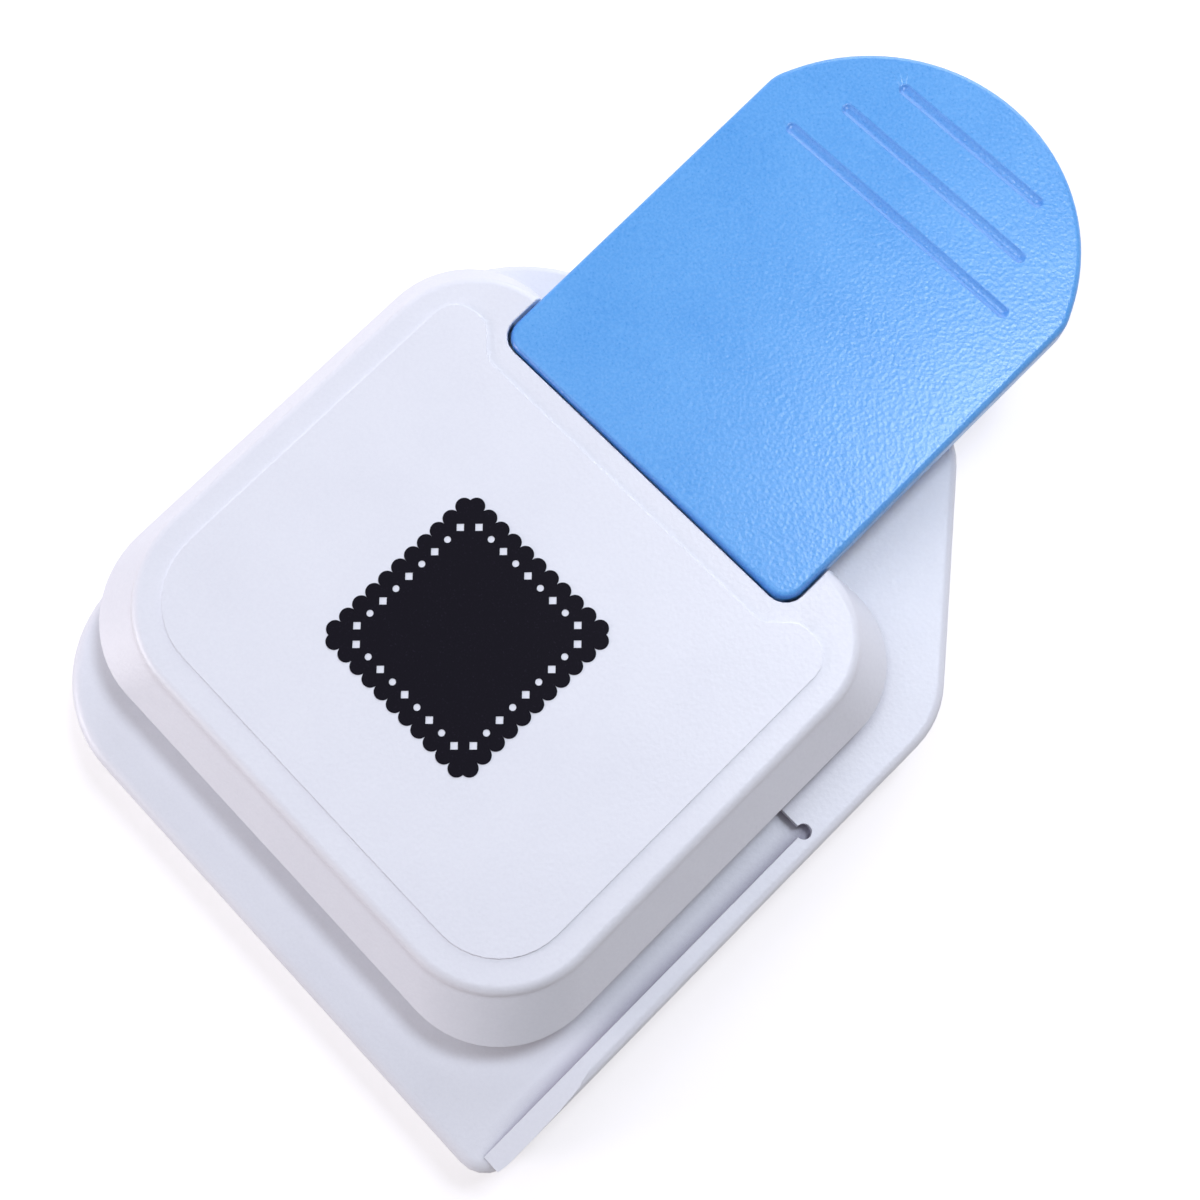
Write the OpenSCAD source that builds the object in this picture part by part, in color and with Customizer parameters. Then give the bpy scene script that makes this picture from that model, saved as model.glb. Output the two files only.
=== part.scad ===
// Border punch: a lever press that cuts a pierced border along the edge of a sheet of paper.
// X runs to the right, Y to the back where the lever reaches out, Z up. The feet stand on z = 0.
// Modules are drawn about the head's middle and moved at the end, so that the origin lies
// under the middle of the whole object.

/* [Base] */
// Height of the rubber feet
foot_h = 1.5; // [1:0.25:3]
// Radius of a rubber foot
foot_r = 6; // [4:0.5:8]
// Height of the base from its underside to the paper table
base_h = 14.5; // [14:0.5:22]
// Height of the rear deck and of the fence above the paper table
deck_step = 3; // [2.5:0.25:5]
// Distance of the base's left edge from the head's middle
base_left = 59.5; // [59:0.5:64]
// Distance of the base's right edge from the head's middle
base_right = 67.8; // [67:0.2:76]
// Distance of the base's front edge from the head's middle
base_front = 69.5; // [67:0.5:80]
// Distance behind the head's middle where the left side would meet the slanted rear
left_y = 47.7; // [46:0.1:49]
// Distance of the tail's rear edge from the head's middle
tail_rear = 85.5; // [80:0.5:92]
// Distance of the tail's left corner to the right of the head's middle
tail_x = 6; // [4:0.5:8]
// Corner radii of the base: front left, front right, right shoulder, tail, rear left
base_radii = [25, 6, 18, 12, 35];
// Angle of the slanted right shoulder from the right side
shoulder_angle = 39.5; // [35:0.5:45]
// Distance of the shoulder's start behind the head's middle
shoulder_y = 44.5; // [40:0.5:48]
// Wall thickness of the base shell
base_wall = 2.5; // [2:0.25:3.5]
// Thickness of the paper table
table_t = 4; // [3.5:0.25:5]
// Thickness of the bottom plate
plate_t = 2; // [1.5:0.25:3]
// Rounding of the table's outer edge
table_edge = 2.6; // [1:0.2:3]
// Rounding of the deck's and the fence's outer edge
deck_edge = 1.7; // [0.8:0.1:2.4]
// Width of the fence with its rounded edge
fence_w = 3.8; // [3:0.2:5]
// Distance of the fence's thin front end from the base's front
fence_start = 4; // [3:0.5:6]
// Length over which the fence rises to its full height
fence_lead = 24; // [12:1:40]
// Distance of the paper stop behind the head's middle
stop_y = 12.8; // [12:0.2:14]
// Radius of the relief in the corner between stop and fence
relief_r = 1.4; // [1:0.1:2]

/* [Head] */
// Height of the tray that carries the head, above the deck
tray_h = 5.5; // [5:0.25:8]
// Height of the head's flared skirt
skirt_h = 9.3; // [9:0.1:12]
// Half width of the head at its lip
lip_half = 58.8; // [58:0.2:60]
// Distance of the lip's front from the head's middle
lip_front = 56.2; // [55:0.2:60]
// Distance of the lip's rear from the head's middle
lip_rear = 48.9; // [48:0.2:52]
// Inward lean of the head's two sides
side_lean = 5.5; // [3:0.25:7]
// Inward lean of the head's front
front_lean = 6.8; // [4:0.2:8]
// Inward lean of the head's rear
rear_lean = 2; // [1:0.25:3]
// Corner radii of the head: front left, front right, rear right, rear left
head_radii = [21, 20, 17, 19];
// Rounding of the head's top edge
head_edge = 2; // [1:0.25:2.5]
// Wall thickness of the head's skirt and of the tray
head_wall = 2; // [1.5:0.25:2.5]
// Thickness of the head's top
head_skin = 2.2; // [1.6:0.1:2.4]
// Thickness of the tray's floor
tray_floor_t = 1.5; // [1.2:0.1:2]
// Inset of the tray behind the lip
tray_inset = 1.2; // [0.8:0.1:1.6]
// Height of the raised panel on the head
panel_rise = 0.45; // [0.3:0.05:0.8]
// Width of the margin around the raised panel
panel_margin = 6.2; // [5:0.2:8]
// Side of the printed mark
mark_side = 34; // [24:1:40]
// Distance of the printed mark's middle in front of the head's middle
mark_y = 5.6; // [0:0.2:10]

/* [Lever] */
// Half width of the lever
lever_half = 35.4; // [32:0.2:36]
// Length of the blue handle
lever_len = 95; // [88:1:105]
// Distance of the handle's front edge behind the head's middle
lever_front = 36.5; // [35:0.5:38]
// Angle of the lever at rest, up towards its free end
lever_rise = 2; // [1.5:0.1:2.5]
// Height of the handle's front edge above the head's top
lever_proud = 0.4; // [0.2:0.1:1]
// Radius of the handle's round end
lever_end_r = 37.5; // [36:0.5:38]
// Lean of the handle's sides where the round end starts
lever_end_lean = 25; // [22:0.5:28]
// Corner radius at the handle's front
lever_front_r = 4; // [3:0.25:6]
// Thickness of the handle's top
lever_skin = 2; // [1.6:0.1:2.4]
// Wall thickness of the handle
lever_wall = 2.2; // [1.6:0.1:3]
// Gap between the handle and the head
lever_gap = 0.5; // [0.5:0.1:1.2]
// Distances of the finger grooves from the handle's front edge
groove_y = [64.6, 74.2, 84];
// Half lengths of the finger grooves
groove_half = [25.5, 20.7, 15.9];
// Radius of the groove's section
groove_r = 2; // [1:0.1:3]
// Depth of the grooves
groove_depth = 0.4; // [0.3:0.1:1]
// Distance of the fulcrum in front of the head's middle
pivot_front = 38; // [36:0.5:40]
// Radius of the fulcrum pin
pivot_r = 2; // [1.6:0.1:2.2]
// Thickness of the steel fork inside the lever
fork_t = 2.6; // [2:0.1:2.8]
// Length of the fork's plate inside the handle
fork_tail = 44; // [36:1:48]

/* [Cutting set] */
// Travel of the punches
stroke = 2.8; // [2.4:0.1:3]
// Number of round punches in the row
petals = 10; // [6:1:10]
// Spacing of the round punches
petal_pitch = 7.6; // [7:0.1:8]
// Radius of the round punches
petal_r = 2.4; // [1.8:0.1:2.6]
// Radius of the eyelet punches
eyelet_r = 1.1; // [0.8:0.1:1.3]
// Thickness of the guide plate
guide_t = 1.4; // [1:0.1:1.6]
// Thickness of the die plate
die_t = 2; // [1.5:0.1:2.4]
// Thickness of the punch carriage
carriage_t = 2.5; // [2:0.1:2.8]
// Radius of the guide posts
post_r = 3; // [2.5:0.1:3.4]
// Distance of the guide posts from the middle
post_x = 40; // [39:0.5:41]
// Distance of the guide posts behind the head's middle
post_y = 20; // [19:0.5:22]
// Radius of the spring wire
wire_r = 0.5; // [0.4:0.05:0.6]
// Number of turns in a return spring
spring_turns = 4; // [3:0.5:5]

/* [Hidden] */
$fn = 48;

// Clearances: fixed fits, running fits, and moving faces that pass each other
seat = 0.02;
run = 0.05;
pass = 0.3;

// Fewest steps in a rounded corner, length of a step on a long arc, and steps in a rounded edge
corner_steps = 5;
arc_step = 2.2;
edge_steps = 4;
// Overshoot of a cut past the face that it opens
over = 1;

// Heights
plate_z = foot_h + plate_t;
table_z = foot_h + base_h;
deck_z = table_z + deck_step;
lip_z = deck_z + tray_h;
head_z = lip_z + skirt_h;
ceiling_z = head_z - head_skin;
floor_z = deck_z + tray_floor_t;
guide_z = deck_z - guide_t;
die_z = table_z - die_t;
carriage_z = floor_z + pass + stroke;
carriage_top = carriage_z + carriage_t;
pivot_z = carriage_top + fork_t / 2;
tip_recess = 0.2;
tip_z = guide_z + tip_recess;
rim_z = table_z - table_edge;
cavity_z = table_z - table_t;

// Base outline, counter-clockwise from the front left, each corner as x, y, radius
shoulder_x = base_right - (tail_rear - shoulder_y) * tan(shoulder_angle);
base_corners = [
    [-base_left, -base_front, base_radii[0]],
    [base_right, -base_front, base_radii[1]],
    [base_right, shoulder_y, base_radii[2]],
    [shoulder_x, tail_rear, base_radii[3]],
    [tail_x, tail_rear, base_radii[3]],
    [-base_left, left_y, base_radii[4]]
];
fence_x = base_right - fence_w;
fence_y = fence_start - base_front;
fence_tip = 0.3;

// Head outline at a share of the skirt's height, 0 at the lip and 1 at the top edge
function head_corners(share) =
    let (half = lip_half - side_lean * share, front = lip_front - front_lean * share)
    let (rear = lip_rear - rear_lean * share)
    [[-half, -front, head_radii[0]], [half, -front, head_radii[1]],
     [half, rear, head_radii[2]], [-half, rear, head_radii[3]]];
skirt_straight = skirt_h - head_edge;

// Raised panel: it follows the head's top edge and stays clear of the lever by its own margin
panel_half = lip_half - side_lean - panel_margin;
panel_front = lip_front - front_lean - panel_margin;
panel_rear = lever_front - panel_margin + 1.2;
ear_rear = lever_front - 0.3;
ear_x = lever_half + 3.6;
ear_foot = lever_half - 1.4;
panel_corners = [
    [-panel_half, -panel_front, head_radii[0] - panel_margin],
    [panel_half, -panel_front, head_radii[1] - panel_margin],
    [panel_half, ear_rear, 5],
    [ear_x, ear_rear, 3],
    [ear_foot, panel_rear, 4],
    [-ear_foot, panel_rear, 4],
    [-ear_x, ear_rear, 3],
    [-panel_half, ear_rear, 5]
];
panel_z = head_z + panel_rise;
mark_t = 0.12;

// Lever, drawn about the fulcrum with the fork flat and then turned up by its rest angle
pivot_y = -pivot_front;
handle_y = lever_front + pivot_front;
handle_low = -fork_t / 2;
handle_top = (head_z + lever_proud - pivot_z - handle_y * sin(lever_rise)) / cos(lever_rise);
handle_edge = 1.2;
handle_foot_edge = 0.6;
end_apex = handle_y + lever_len + lever_end_r / sin(lever_end_lean) - lever_end_r;
end_start = end_apex - lever_half / tan(lever_end_lean);
handle_corners = [
    [-lever_half, handle_y, lever_front_r],
    [lever_half, handle_y, lever_front_r],
    [lever_half, end_start, 8],
    [0, end_apex, lever_end_r],
    [-lever_half, end_start, 8]
];
prong_in = 18.5;
prong_w = 3;
prong_out = prong_in + prong_w;
fork_plate_y = 58;
fork_end = handle_y + fork_tail;
eye_r = pivot_r + 1.6;
bush_r = pivot_r + 0.8;
bush_flange_r = pivot_r + 1.4;
bush_flange_t = 0.8;
bracket_x = prong_out + bush_flange_t + 0.5;
bracket_t = 2;
clip_t = 0.8;
pin_half = bracket_x + bracket_t + pass + clip_t + 1;
presser_r = 2.2;
presser_y = -6;
presser_gap = 0.05;
lever_screw_x = 14;
lever_screw_front = 11;
lever_screw_rear = 8;
lever_screw_y = [handle_y + lever_screw_front, fork_end - lever_screw_rear];
lever_screw_r = 1.4;
lever_screw_head_r = 2.6;
lever_screw_head_t = 1.2;

// Cutting set
petal_y = -1;
eyelet_y = -7;
bead_y = -11.5;
bead_r = 0.8;
punch_half = (petals - 1) / 2 * petal_pitch;
field_half = punch_half + petal_r + 1.5;
field_front = bead_y - 3;
field_rear = petal_y + petal_r + 1;
carriage_half = 40;
carriage_front = -19;
carriage_rear = 4;
arm_half = 5.6;
arm_reach = 6.6;
arm_in = post_x - arm_half;
arm_out = post_x + arm_half;
arm_front = carriage_front + arm_half;
arm_rear = post_y + arm_reach;
carriage_r = 2.5;
carriage_corners = [
    [-carriage_half, carriage_front, carriage_r],
    [carriage_half, carriage_front, carriage_r],
    [carriage_half, arm_front, carriage_r],
    [arm_out, arm_front, carriage_r],
    [arm_out, arm_rear, carriage_r],
    [arm_in, arm_rear, carriage_r],
    [arm_in, carriage_rear, carriage_r],
    [-arm_in, carriage_rear, carriage_r],
    [-arm_in, arm_rear, carriage_r],
    [-arm_out, arm_rear, carriage_r],
    [-arm_out, arm_front, carriage_r],
    [-carriage_half, arm_front, carriage_r]
];
punch_top = carriage_top - 0.5;
bush_out_r = post_r + 1.5;
bush_low = carriage_z - 1.5;
bush_top = carriage_top + 2;
bush_collar_r = post_r + 2.3;
pocket_r = bush_collar_r + 0.6;
pocket_z = table_z - 4;
post_low = plate_z + 1.5;
post_top = bush_top + 0.2 + clip_t + 0.8;
spring_r = post_r + 1.3;

// Plates of the cutting set
guide_half = 52;
guide_front = -22;
guide_rear = stop_y - 1.3;
guide_screw_x = 49;
guide_boss_r = 2.6;
guide_boss_h = 3;
screw_spare = 0.5;
guide_screw_y = [-18, 2];
die_half = 46;
die_front = -20;
die_rear = 9;
die_ledge = 5;
die_screw_x = die_half - 2.5;
die_screw_y = [die_front + 2.5, die_rear - 2.5];
plate_r = 3;
flat_head_r = 2.2;
flat_head_t = 0.8;
small_r = 1.1;

// Screws that clamp base, tray and head, and those that close tray and bottom plate
head_screw_at = [[46.5, 33], [28, 26]];
tray_screw_at = [43, -41];
boss_r = 2.8;
boss_top = ceiling_z + head_skin / 2;
bore_top = lip_z + 4;
screw_r = 1.5;
screw_head_r = 2.8;
screw_head_t = 2;
column_r = 4.5;
column_rise = 6;
column_low = plate_z + column_rise;
table_screw_at = [[-47, -55], [57, -42], [4, -56]];
deck_screw_at = [[-40, 46], [54, 44], [9.5, 74]];
bottom_screw_at = concat(table_screw_at, deck_screw_at);
bottom_boss_r = 3.5;
foot_at = [[-44, -46], [57, -57], [-44, 30], [57, 30], [-14, 56], [20, 73]];
window_half = 42;
window_front = -16;
window_rear = 6;

// The whole object's middle
lever_end_y = pivot_y + (handle_y + lever_len) * cos(lever_rise)
    - (handle_low + handle_foot_edge) * sin(lever_rise);
centre_x = (base_right - base_left) / 2;
centre_y = (lever_end_y - base_front) / 2;

// Colours
shell_white = "#eceaf0";
handle_blue = "#5aa2ea";
steel_grey = "#b4b8bd";
dark_steel = "#7d8288";
rubber_grey = "#3b3c3f";
ink_black = "#17171c";
bush_cream = "#d9cfae";

// Points of one rounded corner, drawn inward by inset
function unit(v) = v / norm(v);
function left_of(v) = [-v.y, v.x];
function corner_points(before, at, after, inset) =
    let (d1 = unit([at.x - before.x, at.y - before.y]), d2 = unit([after.x - at.x, after.y - at.y]))
    let (turn = atan2(cross(d1, d2), d1 * d2), side = turn < 0 ? -1 : 1)
    let (n1 = left_of(d1), n2 = left_of(d2), start = atan2(n1.y, n1.x))
    let (centre = [at.x, at.y] + side * at.z * (n1 + n2) / (1 + n1 * n2))
    let (steps = max(corner_steps, ceil(at.z * abs(turn) * PI / 180 / arc_step)))
    [for (i = [0:steps])
        let (a = start + turn * i / steps)
        centre - (side * at.z - inset) * [cos(a), sin(a)]];

// A closed outline through rounded corners, each given as x, y, radius
function outline(corners, inset = 0) =
    let (n = len(corners))
    [for (i = [0:n - 1])
        each corner_points(corners[(i + n - 1) % n], corners[i], corners[(i + 1) % n], inset)];

// The same outline as a ring at height z
function ring(corners, inset, z) = [for (p = outline(corners, inset)) [p.x, p.y, z]];

// Rings of a quarter-round edge that ends at height z
function round_edge(corners, radius, z, inset = 0) =
    [for (i = [0:edge_steps])
        let (a = 90 * i / edge_steps)
        ring(corners, inset + radius * (1 - cos(a)), z - radius * (1 - sin(a)))];

// Solid through a stack of rings, lowest first
module loft(rings) {
    n = len(rings[0]);
    top = len(rings) - 1;
    sides = [for (k = [0:top - 1], i = [0:n - 1])
        let (a = k * n + i, b = a + n, c = (k + 1) * n + (i + 1) % n, d = k * n + (i + 1) % n)
        [a, b, c, d]];
    caps = [[for (i = [0:n - 1]) i], [for (i = [n - 1:-1:0]) top * n + i]];
    polyhedron(points = [for (r = rings) each r], faces = concat(caps, sides));
}

// Upright prism over a rounded outline
module slab(corners, inset, low, high) {
    translate([0, 0, low]) linear_extrude(high - low) polygon(outline(corners, inset));
}

// Box between two heights
module box(x0, x1, y0, y1, z0, z1) {
    translate([x0, y0, z0]) cube([x1 - x0, y1 - y0, z1 - z0]);
}

// Upright round bar between two heights
module post(r, z0, z1) {
    translate([0, 0, z0]) cylinder(r = r, h = z1 - z0);
}

// Round bar along X between two places
module axle(r, x0, x1) {
    translate([x0, 0, 0]) rotate([0, 90, 0]) cylinder(r = r, h = x1 - x0);
}

// Children on both sides of the middle
module both_sides() {
    children();
    mirror([1, 0, 0]) children();
}

// Children at each given place
module at_each(places) {
    for (p = places) translate([p.x, p.y, 0]) children();
}

// Children at both screw rows of a plate, on both sides
module at_plate_screws(x, rows) {
    for (y = rows) both_sides() translate([x, y, 0]) children();
}

// Rectangle with rounded corners as a corner list
function plate_corners(half, front, rear, r) =
    [[-half, front, r], [half, front, r], [half, rear, r], [-half, rear, r]];

// Children turned with the lever about the fulcrum
module on_lever() {
    translate([0, pivot_y, pivot_z]) rotate([lever_rise, 0, 0]) children();
}

// Screw with its head at the low end: head radius and height, shank radius, tip height
module screw(head_r, head_t, r, low, tip) {
    post(head_r, low, low + head_t);
    post(r, low + head_t, tip);
}

// Places of the punches in each row
function row_x(count) = [for (i = [0:count - 1]) (i - (count - 1) / 2) * petal_pitch];
module at_row(count, y) {
    for (x = row_x(count)) translate([x, y, 0]) children();
}

// All punch holes of a plate between two heights, wider than the punches by gap
module punch_holes(gap, low, high) {
    at_row(petals, petal_y) post(petal_r + gap, low, high);
    at_row(petals - 1, eyelet_y) post(eyelet_r + gap, low, high);
    at_row(petals, bead_y) post(bead_r + gap, low, high);
}

// Base

// Space that belongs to the paper table, left of the fence and in front of the stop and the fence
module table_space(overlap) {
    box(-base_left - over, fence_x + overlap, -base_front - over, stop_y + overlap,
        rim_z - 2 * over, deck_z + over);
    box(-base_left - over, base_right + over, -base_front - over, fence_y + overlap,
        rim_z - 2 * over, deck_z + over);
}

// Layer of the base's outline between two heights, rounded at the top
module base_layer(inset, edge, low, high) {
    loft(concat([ring(base_corners, inset, low)], round_edge(base_corners, edge, high, inset)));
}

// Space over the fence where it rises from its thin front end
module fence_slope() {
    translate([fence_x - over, 0, 0]) rotate([90, 0, 90]) linear_extrude(fence_w + 2 * over) polygon([
        [fence_y - over, table_z + fence_tip], [fence_y, table_z + fence_tip], [fence_y + fence_lead, deck_z],
        [fence_y + fence_lead, deck_z + over], [fence_y - over, deck_z + over]
    ]);
}

// Outer body of the base: straight walls, the rounded table, and the seat of the deck and the fence
module base_body() {
    slab(base_corners, 0, foot_h, rim_z);
    intersection() {
        base_layer(seat, table_edge, rim_z - over, table_z);
        table_space(over / 2);
    }
    difference() {
        slab(base_corners, 2 * seat, rim_z - over, table_z - seat);
        table_space(0);
    }
}

// Space inside the base, closed by the table and open under the deck
module base_cavity() {
    slab(base_corners, base_wall, foot_h - over, cavity_z);
    intersection() {
        slab(base_corners, base_wall, cavity_z - over, table_z + over);
        box(-base_left, base_right, stop_y + base_wall, tail_rear, cavity_z - over, table_z + over);
    }
}

module base_bosses() {
    both_sides() translate([post_x, post_y, 0]) post(pocket_r + 1.2, post_low, table_z - seat);
    at_plate_screws(die_screw_x, die_screw_y) post(boss_r, cavity_z - 3, cavity_z + over);
    at_each(table_screw_at) post(bottom_boss_r, plate_z, cavity_z + over);
}

module base_shell() {
    color(shell_white) difference() {
        union() {
            difference() {
                base_body();
                base_cavity();
            }
            base_bosses();
        }
        slab(plate_corners(die_half, die_front, die_rear, plate_r), -seat, die_z, table_z + over);
        slab(plate_corners(die_half - die_ledge, die_front + die_ledge, die_rear - die_ledge, plate_r),
             0, foot_h, die_z + over);
        at_plate_screws(die_screw_x, die_screw_y) post(small_r + seat, cavity_z - 2, die_z + over);
        both_sides() translate([post_x, post_y, 0]) {
            post(pocket_r, pocket_z, table_z + over);
            post(post_r + seat, post_low - over, pocket_z + over);
        }
        at_each(table_screw_at) post(small_r + seat, plate_z - over, cavity_z - 1);
    }
}

// Deck behind the paper stop, with the fence along the right side and bosses that reach down into the base
module rear_deck() {
    color(shell_white) difference() {
        union() {
            difference() {
                base_layer(2 * seat, deck_edge, table_z + seat, deck_z);
                table_space(0);
                fence_slope();
            }
            both_sides() at_each(head_screw_at) post(column_r, column_low, table_z + over);
            at_each(deck_screw_at) post(bottom_boss_r, plate_z, table_z + over);
        }
        both_sides() {
            translate([post_x, post_y, 0]) post(pocket_r, table_z - over, deck_z + over);
            at_each(head_screw_at) post(screw_r + seat, column_low - over, deck_z + over);
        }
        at_each(deck_screw_at) post(small_r + seat, plate_z - over, cavity_z - 1);
        translate([fence_x, stop_y, 0]) post(relief_r, table_z - over, deck_z + over);
    }
}

module bottom_plate() {
    color(shell_white) difference() {
        slab(base_corners, base_wall + 0.2, foot_h, plate_z - seat);
        slab(plate_corners(window_half, window_front, window_rear, plate_r), 0, 0, plate_z + over);
        at_each(bottom_screw_at) {
            post(small_r + seat, 0, plate_z + over);
            post(flat_head_r + seat, 0, foot_h + flat_head_t);
        }
    }
}

module rubber_feet() {
    color(rubber_grey) at_each(foot_at) rotate_extrude() polygon([
        [0, 0], [foot_r - foot_h / 2, 0], [foot_r, foot_h / 2], [foot_r, foot_h - seat], [0, foot_h - seat]
    ]);
}

module bottom_screws() {
    color(steel_grey) at_each(bottom_screw_at)
        screw(flat_head_r, flat_head_t, small_r, foot_h, cavity_z - 2);
}

// Cutting set that stays still

module die_plate() {
    color(steel_grey) difference() {
        slab(plate_corners(die_half, die_front, die_rear, plate_r), 0, die_z, table_z);
        punch_holes(run, die_z - over, table_z + over);
        at_plate_screws(die_screw_x, die_screw_y) {
            post(small_r + seat, die_z - over, table_z + over);
            post(flat_head_r + seat, table_z - flat_head_t, table_z + over);
        }
    }
}

module die_screws() {
    color(dark_steel) at_plate_screws(die_screw_x, die_screw_y) {
        post(flat_head_r, table_z - flat_head_t, table_z);
        post(small_r, cavity_z - 1, table_z - flat_head_t);
    }
}

module guide_plate() {
    color(steel_grey) difference() {
        slab(plate_corners(guide_half, guide_front, guide_rear, plate_r), 0, guide_z, deck_z);
        punch_holes(run, guide_z - over, deck_z + over);
        at_plate_screws(guide_screw_x, guide_screw_y) {
            post(small_r + seat, guide_z - over, deck_z + over);
            post(flat_head_r + seat, guide_z - over, guide_z + flat_head_t);
        }
    }
}

module guide_screws() {
    color(dark_steel) at_plate_screws(guide_screw_x, guide_screw_y)
        screw(flat_head_r, flat_head_t, small_r, guide_z, floor_z + guide_boss_h - screw_spare);
}

module guide_posts() {
    color(steel_grey) both_sides() translate([post_x, post_y, 0]) difference() {
        post(post_r, post_low, post_top);
        translate([0, 0, bush_top + 0.2]) difference() {
            post(post_r + over, 0, clip_t);
            post(post_r - 0.4, -over, clip_t + over);
        }
    }
}

module post_clips() {
    color(dark_steel) both_sides() translate([post_x, post_y, bush_top + 0.2 + seat]) difference() {
        post(post_r + 1.4, 0, clip_t - 2 * seat);
        post(post_r - 0.4 + seat, -over, clip_t + over);
        box(-0.9, 0.9, 0, post_r + 2, -over, clip_t + over);
    }
}

// Head

module head_tray() {
    tray = head_corners(0);
    color(shell_white) difference() {
        union() {
            difference() {
                slab(tray, tray_inset, deck_z, lip_z);
                slab(tray, tray_inset + head_wall, floor_z, lip_z + over);
            }
            at_plate_screws(guide_screw_x, guide_screw_y)
                post(guide_boss_r, floor_z - over / 2, floor_z + guide_boss_h);
        }
        box(-field_half, field_half, field_front, field_rear, deck_z - over, floor_z + over);
        box(-lever_half - lever_gap, lever_half + lever_gap, lever_front - lever_gap, lip_rear + over,
            floor_z, lip_z + over);
        both_sides() translate([post_x, post_y, 0]) post(pocket_r, deck_z - over, floor_z + over);
        both_sides() at_each(head_screw_at) post(screw_r + seat, deck_z - over, floor_z + over);
        both_sides() translate(tray_screw_at) {
            post(screw_r + seat, deck_z - over, floor_z + over);
            post(screw_head_r + seat, deck_z - over, deck_z + flat_head_t);
        }
        at_plate_screws(guide_screw_x, guide_screw_y)
            post(small_r + seat, deck_z - over, floor_z + guide_boss_h + over);
        both_sides() at_each(rivet_at) post(rivet_r + seat, deck_z - over, floor_z + over);
    }
}

// Outer form of the head's skirt and top
module head_form() {
    loft(concat(
        [ring(head_corners(0), 0, lip_z)],
        round_edge(head_corners(1), head_edge, head_z)
    ));
}

// Space inside the head, upright at the lip and leaning in above it
module head_hollow() {
    upright = 0.7;
    share = (ceiling_z - lip_z) / skirt_straight;
    loft([
        ring(head_corners(0), head_wall, lip_z - over),
        ring(head_corners(0), head_wall, lip_z + upright),
        ring(head_corners(share), head_wall, ceiling_z)
    ]);
}

// Notch in the head's rear, around the lever
module lever_notch() {
    slab([
        [-lever_half - lever_gap, lever_front - lever_gap, lever_front_r],
        [lever_half + lever_gap, lever_front - lever_gap, lever_front_r],
        [lever_half + lever_gap, lip_rear + 2 * lever_front_r, lever_front_r],
        [-lever_half - lever_gap, lip_rear + 2 * lever_front_r, lever_front_r]
    ], 0, lip_z - over, panel_z + over);
}

module head_bosses() {
    both_sides() at_each(concat(head_screw_at, [tray_screw_at])) post(boss_r, floor_z, boss_top);
}

module head_shell() {
    color(shell_white) difference() {
        union() {
            difference() {
                head_form();
                head_hollow();
            }
            head_bosses();
            slab(panel_corners, 0, head_z - head_skin / 2, panel_z);
        }
        lever_notch();
        both_sides() at_each(concat(head_screw_at, [tray_screw_at]))
            post(screw_r + seat, floor_z - over, bore_top);
    }
}

module head_screws() {
    color(steel_grey) both_sides() at_each(head_screw_at)
        screw(screw_head_r, screw_head_t, screw_r, column_low - screw_head_t, bore_top - screw_spare);
}

module tray_screws() {
    color(steel_grey) both_sides() translate(tray_screw_at)
        screw(screw_head_r, flat_head_t, screw_r, deck_z, bore_top - screw_spare);
}

// Printed mark: a square with plain round scallops, pierced by diamonds and dots
module mark_shape() {
    scallops = 11;
    pitch = mark_side / scallops;
    row = mark_side / 2 - pitch * 0.75;
    difference() {
        union() {
            square(mark_side, center = true);
            for (turn = [0:90:270], i = [0:scallops - 1]) rotate(turn)
                translate([(i + 0.5) * pitch - mark_side / 2, mark_side / 2]) circle(pitch / 2);
        }
        for (turn = [0:90:270], i = [1:scallops - 2]) rotate(turn)
            translate([(i + 0.5) * pitch - mark_side / 2, row]) {
                if (i % 2 == 1) rotate(45) square(pitch * 0.42, center = true);
                else circle(pitch * 0.2);
            }
    }
}

module printed_mark() {
    color(ink_black) translate([0, -mark_y, panel_z]) linear_extrude(mark_t) mark_shape();
}

// Punch carriage

module punch_carriage() {
    color(dark_steel) difference() {
        slab(carriage_corners, 0, carriage_z, carriage_top);
        both_sides() translate([post_x, post_y, 0])
            post(bush_out_r + seat, carriage_z - over, carriage_top + over);
        punch_holes(seat, carriage_z - over, carriage_top + over);
    }
}

module carriage_bushes() {
    color(bush_cream) both_sides() translate([post_x, post_y, 0]) difference() {
        union() {
            post(bush_out_r, bush_low, bush_top);
            post(bush_collar_r, bush_low, carriage_z - seat);
        }
        post(post_r + run, bush_low - over, bush_top + over);
    }
}

module petal_punches() {
    color(steel_grey) at_row(petals, petal_y) post(petal_r, tip_z, punch_top);
}

module eyelet_punches() {
    color(steel_grey) at_row(petals - 1, eyelet_y) post(eyelet_r, tip_z, punch_top);
}

module bead_punches() {
    color(steel_grey) at_row(petals, bead_y) post(bead_r, tip_z, punch_top);
}

// Return springs: one wire wound round each post, from the pocket's floor to the bush's collar
spring_low = pocket_z + seat + wire_r;
spring_high = bush_low - seat - wire_r;
wire_sides = 6;
rings_per_turn = 16;
spring_rings = spring_turns * rings_per_turn;
spring_pitch = (spring_high - spring_low) / spring_turns;

// Point of the wire's skin: ring i along the helix, side j round the wire
function wire_point(i, j) =
    let (a = 360 * i / rings_per_turn, b = 360 * j / wire_sides, r = spring_r + wire_r * cos(b))
    [r * cos(a), r * sin(a), spring_low + spring_pitch * i / rings_per_turn + wire_r * sin(b)];

module return_spring() {
    n = wire_sides;
    sides = [for (i = [0:spring_rings - 1], j = [0:n - 1])
        let (a = i * n + j, b = i * n + (j + 1) % n, c = a + n, d = b + n)
        each [[a, b, d], [a, d, c]]];
    caps = [[for (j = [n - 1:-1:0]) j], [for (j = [0:n - 1]) spring_rings * n + j]];
    polyhedron(
        points = [for (i = [0:spring_rings], j = [0:n - 1]) wire_point(i, j)],
        faces = concat(caps, sides)
    );
}

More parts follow.
